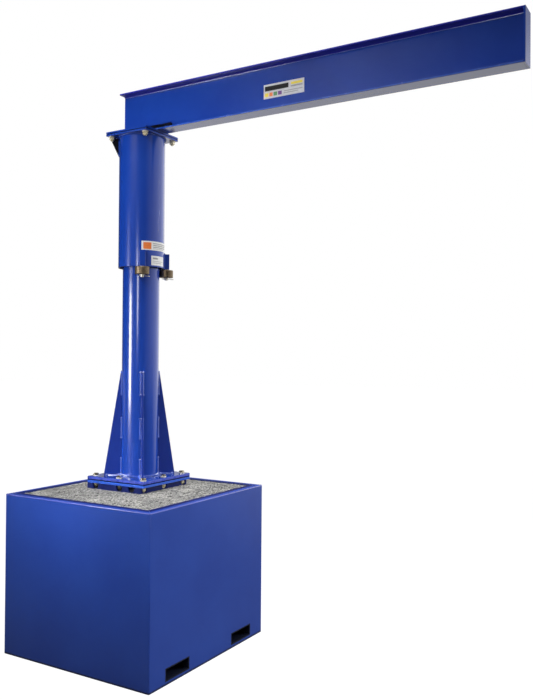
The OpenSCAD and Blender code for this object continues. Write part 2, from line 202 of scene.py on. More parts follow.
finishes = {
    "paint": enamel("blue_enamel", tint(16, 54, 146), tint(22, 62, 156), 0.19, 0.02),
    # The tub's paint carries a painted contact shadow along the floor
    "tubPaint": enamel("tub_enamel", tint(20, 57, 146), tint(27, 65, 156), 0.30, 0.03, contactShadeHeight=0.014),
    # Near-black blue for the tub flanges' tops: painted shade
    "flangeShadePaint": enamel("flange_shade_enamel", tint(6, 14, 80), tint(10, 20, 96), 0.5, 0.03, 0.0, 0.1),
    # Pale lilac blue for the tub's rim bends: painted highlight
    "rimHighlightPaint": enamel("rim_highlight_enamel", tint(76, 86, 166), tint(100, 108, 184), 0.20, 0.02, 1.0),
    # Near-black for the fork pockets: painted shade inside them
    "pocketShadePaint": enamel("pocket_shade_enamel", tint(16, 20, 34), tint(24, 28, 44), 0.5, 0.02, 0.1, 0.3),
    # Dark navy for the anchor frame: painted shade under the plates' overhang
    "frameShadePaint": enamel("frame_shade_enamel", tint(5, 18, 74), tint(7, 25, 90), 0.30, 0.02, 0.1, 0.2),
    "shadePaint": enamel("shade_enamel", tint(36, 38, 142), tint(44, 46, 158), 0.4, 0.02, 0.0, 0.2),
    # Lavender blue for the mast base plate's sides: painted sheen
    "sideSheenPaint": enamel("side_sheen_enamel", tint(42, 60, 156), tint(60, 76, 174), 0.26, 0.02),
    # Pale blue for the brackets' long edges: painted highlight
    "highlightLinePaint": enamel("highlight_line_enamel", tint(92, 112, 206), tint(112, 130, 218), 0.20, 0.02),
    "zinc": plainMetal("yellow_zinc", tint(196, 184, 148), tint(252, 248, 230), 0.10, spread=0.12),
    # Paler, less metallic zinc for the nuts: painted light on nuts in shade
    "litNutZinc": plainMetal("lit_nut_zinc", tint(214, 200, 158), tint(252, 246, 220), 0.14, 0.6),
    # Near-white zinc for washers and axles: painted glints
    "glintZinc": plainMetal("glint_zinc", tint(222, 214, 184), tint(252, 250, 240), 0.22, 0.3),
    "turned": plainMetal("turned_steel", tint(120, 120, 124), tint(170, 170, 176), 0.25),
    "bronze": plainMetal("bearing_bronze", tint(120, 84, 40), tint(178, 134, 70), 0.3),
    # Dark steel: the flange bars' own colour, and painted shade on the head gussets and inside the sleeve
    "dark": plainMetal("dark_steel_and_shade", tint(26, 26, 34), tint(44, 44, 56), 0.5),
    "roller": plainMetal("roller_steel", tint(102, 86, 68), tint(158, 140, 114), 0.34),
}
# Brighter blue for lit edges and plate sides: painted light
finishes["litEdgePaint"] = enamel("lit_edge_enamel", tint(26, 72, 172), tint(38, 84, 186), 0.24, 0.02)
# Pale lavender for the boom's root fillet: painted highlight
finishes["rootHighlightPaint"] = enamel("root_highlight_enamel", tint(120, 138, 214), tint(158, 170, 232), 0.22, 0.02)
# Near-black blue for seams and under edges: painted shade
finishes["gapShadePaint"] = enamel("gap_shade_enamel", tint(3, 8, 34), tint(6, 12, 44), 0.6, 0.02, 0.0, 0.05)
# Paler blue for the mast's weld beads: painted glints
finishes["weldGlintPaint"] = enamel("weld_glint_enamel", tint(34, 70, 164), tint(64, 98, 196), 0.08, 0.02, 1.0, 1.0)
gloss = finishes["weldGlintPaint"].node_tree.nodes["Principled BSDF"].inputs
gloss["IOR"].default_value = 2.0
gloss["Coat Roughness"].default_value = 0.06
for ink, colour, rough in (("labelSilver", (196, 196, 200), 0.35), ("labelBlack", (18, 18, 18), 0.4),
                           ("labelYellow", (232, 208, 60), 0.45), ("labelOrange", (226, 120, 56), 0.45),
                           ("labelGreen", (84, 140, 90), 0.45), ("labelPurple", (104, 62, 130), 0.45),
                           ("labelGrey", (150, 150, 152), 0.5), ("labelWhite", (226, 226, 224), 0.4)):
    finishes[ink] = plainMetal(ink, tint(*[c * 0.93 for c in colour]), tint(*colour), rough)
    finishes[ink].node_tree.nodes["Principled BSDF"].inputs["Metallic"].default_value = 0.0
finishes["cement"] = castConcrete()
# A darker copy of the blue for the mast gussets: painted shade
finishes["gussetShadePaint"] = enamel("gusset_shade_enamel", tint(22, 46, 132), tint(28, 54, 142), 0.22, 0.02)


# The flanges' tops are dark beside the fill, a painted shade, and blue along the rim
rim = {"darkTo": -0.040, "blueFrom": -0.022, "blue": tint(38, 66, 156)}


def brightenRim(material):
    tree = material.node_tree
    socket = tree.nodes["Principled BSDF"].inputs["Base Color"]
    place = addNode(tree, "ShaderNodeTexCoord")
    axes = addNode(tree, "ShaderNodeSeparateXYZ")
    tree.links.new(place.outputs["Object"], axes.inputs["Vector"])
    reach = []
    walls = [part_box(name) for name in nodes if name.startswith("tub_wall_")]
    for axis, letter in enumerate("XY"):
        low = min(wall[0][axis] for wall in walls)
        high = max(wall[1][axis] for wall in walls)
        away = math2(tree, "ABSOLUTE", math2(tree, "SUBTRACT", axes.outputs[letter], (low + high) / 2), 0.0)
        reach.append(math2(tree, "SUBTRACT", away, (high - low) / 2))
    near = level(tree, math2(tree, "MAXIMUM", *reach), rim["darkTo"], rim["blueFrom"], 0, 1)
    tree.links.new(mixColour(tree, near, socket.links[0].from_socket, rim["blue"]), socket)


brightenRim(finishes["flangeShadePaint"])
# The head gussets take the dark steel as painted shade
nodeFinish = {
    # The fork pockets take the near-black, a painted shade
    # The mast gussets take the darker copy of the blue, a painted shade
    "tub_": "tubPaint", "mast_gusset": "gussetShadePaint", "fork_": "pocketShadePaint", "concrete_fill": "cement", "base_bolts": "zinc",
    "head_bolts": "zinc", "head_gusset": "dark", "roller_axle_": "zinc", "pivot_spindle": "turned",
    "bearing_hub": "turned", "thrust_washer": "bronze", "flange_bar_": "dark",
    "roller_left": "roller", "roller_right": "roller",
}
for name, part in nodes.items():
    finish = next((nodeFinish[key] for key in nodeFinish if name.startswith(key)), "paint")
    part.data.materials.clear()
    part.data.materials.append(finishes[finish])
print("finishes assigned")


# ---- modelling helpers ----

def choose(*pieces):
    bpy.ops.object.select_all(action="DESELECT")
    for piece in pieces:
        piece.select_set(True)
    bpy.context.view_layer.objects.active = pieces[-1]


def named(name):
    piece = bpy.context.object
    piece.name = piece.data.name = name
    return piece


def edit():
    bpy.ops.object.mode_set(mode="EDIT")
    bpy.ops.mesh.select_all(action="DESELECT")


def doneEditing():
    bpy.ops.object.mode_set(mode="OBJECT")


# Selects what the test says yes to, and leaves the rest
def pick(kind, test):
    mesh = bmesh.from_edit_mesh(bpy.context.object.data)
    mesh.select_mode = {"VERT": {"VERT"}, "EDGE": {"EDGE"}, "FACE": {"FACE"}}[kind]
    bpy.ops.mesh.select_mode(type=kind)
    for part in {"VERT": mesh.verts, "EDGE": mesh.edges, "FACE": mesh.faces}[kind]:
        part.select_set(bool(test(part)))
    mesh.select_flush_mode()
    bmesh.update_edit_mesh(bpy.context.object.data)


def settle(piece):
    choose(piece)
    bpy.ops.object.transform_apply(location=True, rotation=True, scale=True)


def modify(piece, kind, **settings):
    modifier = piece.modifiers.new(kind.lower(), kind)
    for key, value in settings.items():
        setattr(modifier, key, value)
    choose(piece)
    bpy.ops.object.modifier_apply(modifier=modifier.name)


def smooth(piece, degrees=35):
    choose(piece)
    bpy.ops.object.shade_smooth_by_angle(angle=math.radians(degrees))


def copied(piece, place=(0, 0, 0), turn=0):
    choose(piece)
    bpy.ops.object.duplicate()
    copy = bpy.context.object
    copy.rotation_euler = (0, 0, turn)
    copy.location = place
    settle(copy)
    return copy


def joined(name, pieces):
    choose(*pieces)
    bpy.ops.object.join()
    return named(name)


def outward(piece):
    choose(piece)
    edit()
    bpy.ops.mesh.select_all(action="SELECT")
    bpy.ops.mesh.normals_make_consistent(inside=False)
    doneEditing()


def dress(piece, body, finish, stands=()):
    piece.data.materials.clear()
    piece.data.materials.append(finishes[finish])
    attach(piece, body)
    if stands:
        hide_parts(*stands)
    return piece


def boxOf(*names):
    corners = [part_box(name) for name in names]
    low = [min(c[0][i] for c in corners) for i in range(3)]
    high = [max(c[1][i] for c in corners) for i in range(3)]
    return Vector(low), Vector(high)


# ---- plates and tubes with eased edges ----

# edge is the radius put on sharp edges, in metres
easedNodes = {
    "base": {"tub_wall_front": 0.0, "tub_wall_rear": 0.0, "tub_wall_left": 0.0, "tub_wall_right": 0.0,
             "anchor_frame": 0.0010, "anchor_plate": 0.0030, "mast_base_plate": 0.0030,
             "mast_tube": 0.0, "mast_gusset_front_left": 0.0012, "mast_gusset_front_right": 0.0012,
             "mast_gusset_rear_left": 0.0012, "mast_gusset_rear_right": 0.0012},
    "jib": {"sleeve_tube": 0.0012, "sleeve_head_plate": 0.0025, "boom_seat_plate": 0.0025,
            "head_gusset_left": 0.0012, "head_gusset_right": 0.0012, "boom_beam": 0.0016,
            "boom_end_plate": 0.0012, "flange_bar_left": 0.0012, "flange_bar_right": 0.0012,
            "roller_bracket_left": 0.0045, "roller_bracket_right": 0.0045},
}

# Their small bolt holes would hold back the bevel of the outer edges
stackedPlates = ("anchor_plate", "mast_base_plate", "sleeve_head_plate", "boom_seat_plate")


def easedCopy(node, radius):
    shape = nodes[node].data.copy()
    shape.materials.clear()
    piece = bpy.data.objects.new(node + "_eased", shape)
    bpy.context.collection.objects.link(piece)
    choose(piece)
    edit()
    bpy.ops.mesh.select_all(action="SELECT")
    bpy.ops.mesh.remove_doubles(threshold=0.00002)
    bpy.ops.mesh.dissolve_limited(angle_limit=math.radians(0.4))
    doneEditing()
    if radius:
        modify(piece, "BEVEL", width=radius, segments=3, limit_method="ANGLE",
               angle_limit=math.radians(50), use_clamp_overlap=node not in stackedPlates)
    smooth(piece)
    modify(piece, "WEIGHTED_NORMAL", weight=100, keep_sharp=True)
    return piece


# Where a piece's own faces look different from the rest of it, as a list of (finish, test)
def sleeveFaces(low, high):
    # Inside the bore the dark steel is painted shade; the faces under the sleeve's foot are given the dark steel
    # too
    def shadedBoreAndDarkFoot(face):
        inside = Vector(face.center[:2]).length < 0.8 * high[0] and face.center.z < low[2] + 0.5
        return inside or (face.center.z < low[2] + 0.001 and face.normal.z < -0.5)
    return [("dark", shadedBoreAndDarkFoot)]


# The eased edges where two stacked plates meet, with a painted shade in the seam, and the plates' sides, lighter
# on the base plates as painted light
def plateFaces(side, jointAbove):
    def rules(low, high):
        seam = high[2] if jointAbove else low[2]

        # The joint faces get the near-black blue, a painted shade in the seam
        def joint(face):
            return abs(face.center.z - seam) < 0.003 and abs(face.normal.z) < 0.98
        return [(side, lambda face: abs(face.normal.z) < 0.5), ("gapShadePaint", joint)]
    return rules


def beamFaces(low, high):
    half = high[1]
    root = (0.0035, 0.0125)
    flange = 0.0150
    under = high[2] - 2 * flange
    # The lower flange's outer edges get the brighter blue, painted light
    return [("litEdgePaint", lambda face: abs(face.center.y) > half - 0.0025 and abs(face.normal.y) > 0.3
             and face.center.z < low[2] + flange),
            # The lower flange's bottom edge gets the near-black blue, a painted shade
            ("gapShadePaint", lambda face: abs(face.center.y) > half - 0.0025 and -0.97 < face.normal.z < -0.3
             and face.center.z < low[2] + 0.003),
            ("shadePaint", lambda face: face.center.z > under and
             (face.normal.z < -0.42 or abs(face.center.y) > half - 0.0025 and face.normal.z < 0.3)),
            # The root fillet under the top flange gets the pale lavender, a painted highlight
            ("rootHighlightPaint", lambda face: root[0] < abs(face.center.y) < root[1]
             and 0.05 < -face.normal.z < 0.42 and face.center.z > under)]


def tubFaces(low, high):
    # The flange tops get the dark blue, a painted shade
    return [("flangeShadePaint", lambda face: face.normal.z > 0.95 and face.center.z > high[2] - 0.002),
            # The rim bends get the pale lilac, a painted highlight
            ("rimHighlightPaint", lambda face: 0.12 < face.normal.z <= 0.95 and face.center.z > high[2] - 0.008)]


# The long edges of a bracket that stands out from the sleeve at this angle get a paler blue, a painted highlight
def bracketFaces(side):
    turn = math.radians(jibJoints["bracketAngle"]) * side

    def rules(low, high):
        def edge(face):
            outwards = face.normal.x * math.cos(turn) + face.normal.y * math.sin(turn)
            return abs(face.normal.z) < 0.3 and 0.25 < outwards < 0.97
        return [("highlightLinePaint", edge)]
    return rules


def refinish(piece, rules):
    for finish, test in rules:
        piece.data.materials.append(finishes[finish])
        slotNumber = len(piece.data.materials) - 1
        for face in piece.data.polygons:
            if test(face):
                face.material_index = slotNumber


jibJoints = {"bead": 0.0062, "small": 0.0048, "gussetAngle": 143, "bracketAngle": 48}
edgeRules = {"sleeve_tube": sleeveFaces, "boom_beam": beamFaces, "tub_wall_front": tubFaces,
             "tub_wall_rear": tubFaces, "tub_wall_left": tubFaces, "tub_wall_right": tubFaces,
             # The anchor plate's sides get the brighter blue, painted light
             "anchor_plate": plateFaces("litEdgePaint", True),
             # The mast base plate's sides take the lavender blue, a painted sheen
             "mast_base_plate": plateFaces("sideSheenPaint", False),
             "sleeve_head_plate": plateFaces("paint", True),
             "boom_seat_plate": plateFaces("paint", False),
             "roller_bracket_left": bracketFaces(1), "roller_bracket_right": bracketFaces(-1)}
# The mast gussets take the darker copy of the blue, a painted shade
easedFinish = {"tub_": "tubPaint", "mast_gusset": "gussetShadePaint", "flange_bar": "dark",
               # The anchor frame takes the dark navy, a painted shade
               # The head gussets take the dark steel as painted shade
               "head_gusset": "dark", "anchor_frame": "frameShadePaint"}


def buildEased():
    for body, group in easedNodes.items():
        for node, radius in group.items():
            piece = easedCopy(node, radius)
            finish = next((easedFinish[key] for key in easedFinish if node.startswith(key)), "paint")
            dress(piece, body, finish, (node,))
            if node in edgeRules:
                refinish(piece, edgeRules[node](*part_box(node)))


# ---- weld beads ----

bead = {"sides": 10, "pitch": 0.0066, "waist": 0.72, "crest": 0.42, "wander": 0.0016,
        "lump": 1.12}


def weldLump(place, radius):
    bpy.ops.mesh.primitive_uv_sphere_add(segments=14, ring_count=8, radius=radius, location=place)
    lump = named("lump")
    settle(lump)
    return lump


# A rippled bead that follows the path, a list of points, with a lump where it starts and stops
def weldBead(path, radius):
    curve = bpy.data.curves.new("beadPath", "CURVE")
    curve.dimensions = "3D"
    spline = curve.splines.new("POLY")
    spline.points.add(len(path) - 1)
    for point, place in zip(spline.points, path):
        point.co = (*place, 1)
    guide = bpy.data.objects.new("beadPath", curve)
    bpy.context.collection.objects.link(guide)
    length = sum((Vector(b) - Vector(a)).length for a, b in zip(path, path[1:]))
    cells = max(2, round(length / bead["pitch"]))
    step = length / cells
    bpy.ops.mesh.primitive_circle_add(vertices=bead["sides"], radius=radius * bead["waist"],
                                      rotation=(0, math.pi / 2, 0))
    piece = named("bead")
    settle(piece)
    edit()
    bpy.ops.mesh.select_all(action="SELECT")
    for share, size in ((bead["crest"], 1 / bead["waist"]), (1 - bead["crest"], bead["waist"])):
        bpy.ops.mesh.extrude_region_move(TRANSFORM_OT_translate={"value": (step * share, 0, 0)})
        bpy.ops.transform.resize(value=(1, size, size), center_override=(0, 0, 0))
    doneEditing()
    modify(piece, "ARRAY", count=cells, use_relative_offset=False, use_constant_offset=True,
           constant_offset_displace=(step, 0, 0), use_merge_vertices=True, merge_threshold=0.00002)
    edit()
    bpy.ops.mesh.select_mode(type="EDGE")
    bpy.ops.mesh.select_non_manifold()
    bpy.ops.mesh.fill_holes(sides=0)
    doneEditing()
    modify(piece, "CURVE", object=guide, deform_axis="POS_X")
    bpy.data.objects.remove(guide)
    outward(piece)
    lumps = [weldLump(place, radius * bead["lump"]) for place in (path[0], path[-1])]
    return joined("bead", [piece] + lumps)


def roughen(piece, size, strength):
    lumps = bpy.data.textures.new(piece.name + "Lumps", "CLOUDS")
    lumps.noise_scale = size
    modify(piece, "DISPLACE", texture=lumps, texture_coords="LOCAL", strength=strength, mid_level=0.5)


def around(angle, radius, side, z):
    across = (-math.sin(angle) * side, math.cos(angle) * side)
    return (math.cos(angle) * radius + across[0], math.sin(angle) * radius + across[1], z)


def arc(start, end, radius, z, step=math.radians(3)):
    count = max(2, math.ceil(abs(end - start) / step))
    return [(math.cos(start + (end - start) * i / count) * radius,
             math.sin(start + (end - start) * i / count) * radius, z) for i in range(count + 1)]


mastJoints = {"bead": 0.0064, "foot": 0.0092, "runs": ((1.618, 1.484), (1.342, 1.226), (1.102, 1.012)),
              "legSpread": 0.0080, "inset": 0.001}


def buildMastWelds():
    low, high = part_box("mast_tube")
    mastRadius = high[0]
    footZ = low[2]
    reach = max(abs(c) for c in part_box("mast_gusset_front_left")[1][:2]) / math.cos(math.pi / 4)
    beads = []
    for quarter in range(4):
        angle = math.radians(45 + 90 * quarter)
        for side in (-1, 1):
            offset = side * mastJoints["legSpread"]
            for top, bottom in mastJoints["runs"]:
                beads.append(weldBead([around(angle, mastRadius, offset, bottom),
                                       around(angle, mastRadius, offset, top)], mastJoints["bead"]))
            beads.append(weldBead([around(angle, mastRadius + 0.012, offset, footZ + 0.001),
                                   around(angle, reach - 0.022, offset, footZ + 0.001)],
                                  mastJoints["foot"]))
        spread = math.radians(5)
        beads.append(weldBead(arc(angle + spread, angle + math.pi / 2 - spread, mastRadius + 0.001,
                                  footZ + 0.001), mastJoints["foot"]))
    welds = joined("mastWelds", beads)
    roughen(welds, 0.012, bead["wander"])
    smooth(welds, 50)
    # The mast's welds take the paler blue, painted glints
    dress(welds, "base", "weldGlintPaint")


# Corner seams of the tub's bent flanges
def buildTubWelds():
    low, high = boxOf("tub_wall_front", "tub_wall_rear", "tub_wall_left", "tub_wall_right")
    inner = high[1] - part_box("tub_wall_left")[0][1]
    beads = []
    for sx in (-1, 1):
        for sy in (-1, 1):
            corner = Vector((high[0] * sx, high[1] * sy, high[2] - 0.0012))
            inwards = Vector((-sx, -sy, 0))
            beads.append(weldBead([tuple(corner + inwards * 0.006), tuple(corner + inwards * inner)],
                                  0.0022))
    welds = joined("tubWelds", beads)
    roughen(welds, 0.006, 0.0006)
    smooth(welds, 50)
    dress(welds, "base", "tubPaint")


def buildJibWelds():
    plateLow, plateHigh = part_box("sleeve_head_plate")
    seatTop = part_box("boom_seat_plate")[1][2]
    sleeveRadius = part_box("sleeve_tube")[1][0]
    boomLow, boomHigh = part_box("boom_beam")
    endLow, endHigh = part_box("boom_end_plate")
    underZ = plateLow[2] - 0.001
    beads = []
    # sleeve to head plate, between the two rear gussets
    gap = math.radians(5)
    rear = math.radians(jibJoints["gussetAngle"])
    beads.append(weldBead(arc(-rear + gap, rear - gap, sleeveRadius + 0.001, underZ), jibJoints["bead"]))
    beads.append(weldBead(arc(rear + gap, 2 * math.pi - rear - gap, sleeveRadius + 0.001, underZ),
                          jibJoints["bead"]))
    # rear gussets
    gussetLow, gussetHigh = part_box("head_gusset_left")
    tip = abs(gussetLow[0]) / abs(math.cos(rear)) - 0.005
    for side in (-1, 1):
        for face in (-1, 1):
            offset = face * 0.0058
            beads.append(weldBead([around(side * rear, sleeveRadius, offset, underZ - 0.006),
                                   around(side * rear, sleeveRadius, offset, gussetLow[2] + 0.008)],
                                  jibJoints["small"]))
            beads.append(weldBead([around(side * rear, sleeveRadius + 0.006, offset, underZ),
                                   around(side * rear, tip - 0.006, offset, underZ)],
                                  jibJoints["small"]))
    # boom on its seat plate, and the end plate
    for side in (-1, 1):
        y = side * boomHigh[1]
        beads.append(weldBead([(boomLow[0] + 0.004, y + side * 0.001, seatTop + 0.001),
                               (plateHigh[0] - 0.004, y + side * 0.001, seatTop + 0.001)],
                              jibJoints["bead"]))
        webY = side * 0.0042
        beads.append(weldBead([(endLow[0], webY, boomLow[2] + 0.02),
                               (endLow[0], webY, boomHigh[2] - 0.02)], jibJoints["small"]))
        for z in (boomLow[2] + 0.0092, boomHigh[2] - 0.0092):
            beads.append(weldBead([(endLow[0], side * 0.014, z), (endLow[0], y - side * 0.006, z)],
                                  jibJoints["small"]))
    beads.append(weldBead([(boomLow[0] - 0.001, boomLow[1] + 0.006, seatTop + 0.001),
                           (boomLow[0] - 0.001, boomHigh[1] - 0.006, seatTop + 0.001)],
                          jibJoints["bead"]))
    # roller brackets up the sleeve
    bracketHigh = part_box("roller_bracket_right")[1][2]
    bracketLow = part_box("sleeve_tube")[0][2]
    for side in (-1, 1):
        turn = math.radians(jibJoints["bracketAngle"]) * side
        for face in (-1, 1):
            beads.append(weldBead([around(turn, sleeveRadius - 0.0005, face * 0.0172, bracketLow + 0.004),
                                   around(turn, sleeveRadius - 0.0005, face * 0.0172, bracketHigh - 0.002)],
                                  jibJoints["small"]))
        beads.append(weldBead([around(turn, sleeveRadius + 0.001, -0.012, bracketHigh + 0.0005),
                               around(turn, sleeveRadius + 0.001, 0.012, bracketHigh + 0.0005)],
                              jibJoints["small"]))
    welds = joined("jibWelds", beads)
    roughen(welds, 0.012, bead["wander"])
    smooth(welds, 50)
    dress(welds, "jib", "paint")


# ---- bolts ----

bolt = {"shank": 0.019, "flats": 0.0285, "head": 0.01235, "nut": 0.01615, "washer": 0.0361,
        "washerThick": 0.003, "pitch": 0.00254, "threadDeep": 0.0013}


# Hexagon with its corners turned down to 30 degrees, on one end or both
def hexBody(across, height, z, bothEnds):
    bpy.ops.mesh.primitive_cylinder_add(vertices=6, radius=across / math.sqrt(3), depth=height,
                                        location=(0, 0, z + height / 2))
    body = named("hexBody")
    settle(body)
    bpy.ops.mesh.primitive_cylinder_add(vertices=48, radius=across * 0.585, depth=height,
                                        location=(0, 0, z + height / 2))
    turned = named("turned")
    settle(turned)
    edit()
    ends = (z, z + height) if bothEnds else (z + height,)
    for end in ends:
        pick("EDGE", lambda e: all(abs(v.co.z - end) < 1e-6 for v in e.verts))
        bpy.ops.mesh.bevel(offset_type="WIDTH", offset=across * 0.115, segments=2, affect="EDGES")
    doneEditing()
    modify(body, "BOOLEAN", object=turned, operation="INTERSECT", solver="EXACT")
    bpy.data.objects.remove(turned)
    return body


def washerBody(outer, bore, thick, z):
    bpy.ops.mesh.primitive_cylinder_add(vertices=48, radius=outer / 2, depth=thick,
                                        location=(0, 0, z + thick / 2))
    ring = named("washerBody")
    settle(ring)
    edit()
    pick("FACE", lambda f: abs(f.normal.z) > 0.9)
    bpy.ops.mesh.inset(thickness=(outer - bore) / 2)
    bpy.ops.mesh.bridge_edge_loops()
    doneEditing()
    modify(ring, "BEVEL", width=thick * 0.2, segments=2, limit_method="ANGLE",
           angle_limit=math.radians(50))
    return ring


def threadBody(diameter, low, high):
    turns = max(1, round((high - low) / bolt["pitch"]))
    pitch = (high - low) / turns
    crest = diameter / 2
    root = crest - bolt["threadDeep"]
    bpy.ops.mesh.primitive_circle_add(vertices=24, radius=crest * 0.9, location=(0, 0, low),
                                      fill_type="NGON")
    rod = named("threadBody")
    settle(rod)
    edit()
    bpy.ops.mesh.select_all(action="SELECT")
    size = crest * 0.9
    heights = [(0.0, crest * 0.9), (0.35, crest)] + [
        (turn + part, radius) for turn in range(1, turns) for part, radius in
        ((-0.15, root), (0.15, root), (0.35, crest), (0.65, crest))][:-1] + [(turns - 0.3, crest * 0.98),
                                                                           (turns, crest * 0.88)]
    level0 = 0.0
    for at, radius in heights[1:]:
        bpy.ops.mesh.extrude_region_move(TRANSFORM_OT_translate={"value": (0, 0, (at - level0) * pitch)})
        bpy.ops.transform.resize(value=(radius / size, radius / size, 1),
                                 center_override=(0, 0, low + at * pitch))
        level0, size = at, radius
    doneEditing()
    outward(rod)
    return rod


# Nut, washers and thread end under the grip, with a head above it or a stud end flush with its top
def boltSet(gripLow, gripHigh, tail, headed):
    nutTop = gripLow - bolt["washerThick"]
    nutLow = nutTop - bolt["nut"]
    parts = [
        washerBody(bolt["washer"], bolt["shank"], bolt["washerThick"], nutTop),
        hexBody(bolt["flats"], bolt["nut"], nutLow, True),
        threadBody(bolt["shank"], nutLow - tail, nutLow + 0.003),
    ]
    if headed:
        parts.append(washerBody(bolt["washer"], bolt["shank"], bolt["washerThick"], gripHigh))
        parts.append(hexBody(bolt["flats"], bolt["head"], gripHigh + bolt["washerThick"], False))
    else:
        bpy.ops.mesh.primitive_cylinder_add(vertices=32, radius=bolt["shank"] / 2, depth=0.006,
                                            location=(0, 0, gripHigh - 0.003))
        end = named("studEnd")
        settle(end)
        modify(end, "BEVEL", width=0.0012, segments=2, limit_method="ANGLE",
               angle_limit=math.radians(50))
        parts.append(end)
    whole = joined("boltSet", parts)
    smooth(whole)
    return whole


def boltPlaces(node, spread):
    low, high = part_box(node)
    half = high[0] - bolt["washer"] / 2
    steps = (-1, 0, 1) if spread == "ring" else (-1, 1)
    return [(i * half, j * half) for i in steps for j in steps if i or j]


def buildBolts(name, node, lowPlate, highPlate, spread, body):
    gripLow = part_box(lowPlate)[0][2]
    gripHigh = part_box(highPlate)[1][2]
    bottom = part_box(node)[0][2]
    tail = gripLow - bolt["washerThick"] - bolt["nut"] - bottom
    master = boltSet(gripLow, gripHigh, tail, spread == "ring")
    turns = (0.31, 1.02, 0.55, 0.86, 0.12, 0.73, 0.44, 0.95)
    copies = [copied(master, (x, y, 0), turn)
              for (x, y), turn in zip(boltPlaces(node, spread), turns)]
    bpy.data.objects.remove(master)
    bolts = joined(name, copies)
    dress(bolts, body, "zinc", (node,))
    washerTop = gripHigh + bolt["washerThick"] + 0.0001
    nutTop = gripLow - bolt["washerThick"] - 0.0001
    # The nuts take the paler zinc, a painted light
    refinish(bolts, [("litNutZinc", lambda face: face.center.z < nutTop),
                     # The washers take the near-white zinc, painted glints
                     ("glintZinc", lambda face: nutTop < face.center.z < gripLow
                      or gripHigh < face.center.z < washerTop)])


# ---- guide rollers and their axles ----

rollerShape = {"radius": 0.0415, "height": 0.0445, "chamfer": 0.0022, "sideSink": 0.0016,
               "rim": 0.0075, "hub": 0.0165, "bore": 0.0101}
axleShape = {"diameter": 0.020, "washer": 0.034, "washerThick": 0.003, "stub": 0.0125,
             "pinWire": 0.0026, "pinLeg": 0.050}


def rollerAxis(side):
    low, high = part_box("roller_left" if side > 0 else "roller_right")
    return (low[0] + high[0]) / 2, (low[1] + high[1]) / 2, low[2]


# The section is drawn once and spun about the axle
def buildRoller(side):
    shape = rollerShape
    x, y, z = rollerAxis(side)
    outer, height, cut = shape["radius"], shape["height"], shape["chamfer"]
    rim, hub, sink = outer - shape["rim"], shape["hub"], shape["sideSink"]
    section = [(shape["bore"], 0.0), (hub, 0.0), (hub + sink, sink), (rim - sink, sink), (rim, 0.0),
               (outer - cut, 0.0), (outer, cut), (outer, height - cut), (outer - cut, height),
               (rim, height), (rim - sink, height - sink), (hub + sink, height - sink), (hub, height),
               (shape["bore"], height)]
    bpy.ops.mesh.primitive_circle_add(vertices=len(section), radius=0.01)
    piece = named("rollerBody_" + ("left" if side > 0 else "right"))
    for vertex, (radius, up) in zip(piece.data.vertices, section):
        vertex.co = (radius, 0, up)
    edit()
    bpy.ops.mesh.select_all(action="SELECT")
    bpy.ops.mesh.spin(steps=96, angle=math.tau, center=(0, 0, 0), axis=(0, 0, 1))
    bpy.ops.mesh.select_all(action="SELECT")
    bpy.ops.mesh.remove_doubles(threshold=0.00001)
    doneEditing()
    outward(piece)
    piece.location = (x, y, z)
    settle(piece)
    smooth(piece)
    name = "roller_left" if side > 0 else "roller_right"
    dress(piece, name, "roller", (name,))


# Axle stub with its washer, and a split pin whose legs stand out to one side
def buildAxle(side):
    shape = axleShape
    x, y, z = rollerAxis(side)
    name = "roller_axle_left" if side > 0 else "roller_axle_right"
    low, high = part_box(name)
    top = z - 0.0003
    parts = [washerBody(shape["washer"], shape["diameter"], shape["washerThick"], top - shape["washerThick"])]
    bpy.ops.mesh.primitive_cylinder_add(vertices=48, radius=shape["diameter"] / 2,
                                        depth=high[2] - low[2], location=(0, 0, (low[2] + high[2]) / 2))
    rod = named("axleRod")
    settle(rod)
    modify(rod, "BEVEL", width=0.0016, segments=2, limit_method="ANGLE", angle_limit=math.radians(50))
    parts.append(rod)
    pinZ = top - shape["washerThick"] - 0.0048
    lean = math.radians(31)
    for leg, spread in ((-1, 0.10), (1, 0.02)):
        wire = shape["pinWire"]
        bpy.ops.mesh.primitive_cylinder_add(vertices=12, radius=wire / 2, depth=shape["pinLeg"] + 0.016,
                                            rotation=(0, math.pi / 2, 0))
        pin = named("pinLeg")
        settle(pin)
        modify(pin, "BEVEL", width=wire * 0.2, segments=2, limit_method="ANGLE",
               angle_limit=math.radians(50))
        pin.rotation_euler = (0, spread, lean + leg * 0.035)
        pin.location = (math.cos(lean) * 0.012 - math.sin(lean) * leg * 0.0016,
                        math.sin(lean) * 0.012 + math.cos(lean) * leg * 0.0016, pinZ - 0.0012)
        settle(pin)
        parts.append(pin)
    bpy.ops.mesh.primitive_torus_add(major_radius=0.0042, minor_radius=shape["pinWire"] / 2,
                                     major_segments=24, minor_segments=10)
    eye = named("pinEye")
    eye.location = (-math.cos(lean) * 0.0195, -math.sin(lean) * 0.0195, pinZ)
    settle(eye)
    parts.append(eye)
    axle = joined("axle_" + ("left" if side > 0 else "right"), parts)
    axle.location = (x, y, 0)
    settle(axle)
    smooth(axle)
    # The axle stub, washer and split pin take the near-white zinc, painted glints
    dress(axle, "jib", "glintZinc", (name,))


# ---- concrete ----

fillTop = {"cells": 170, "overlap": 0.001, "lift": 0.0022, "recess": 0.0036, "coarse": 0.045,
           "coarseHigh": 0.0030, "fine": 0.011, "fineHigh": 0.0034, "skirt": 0.004}


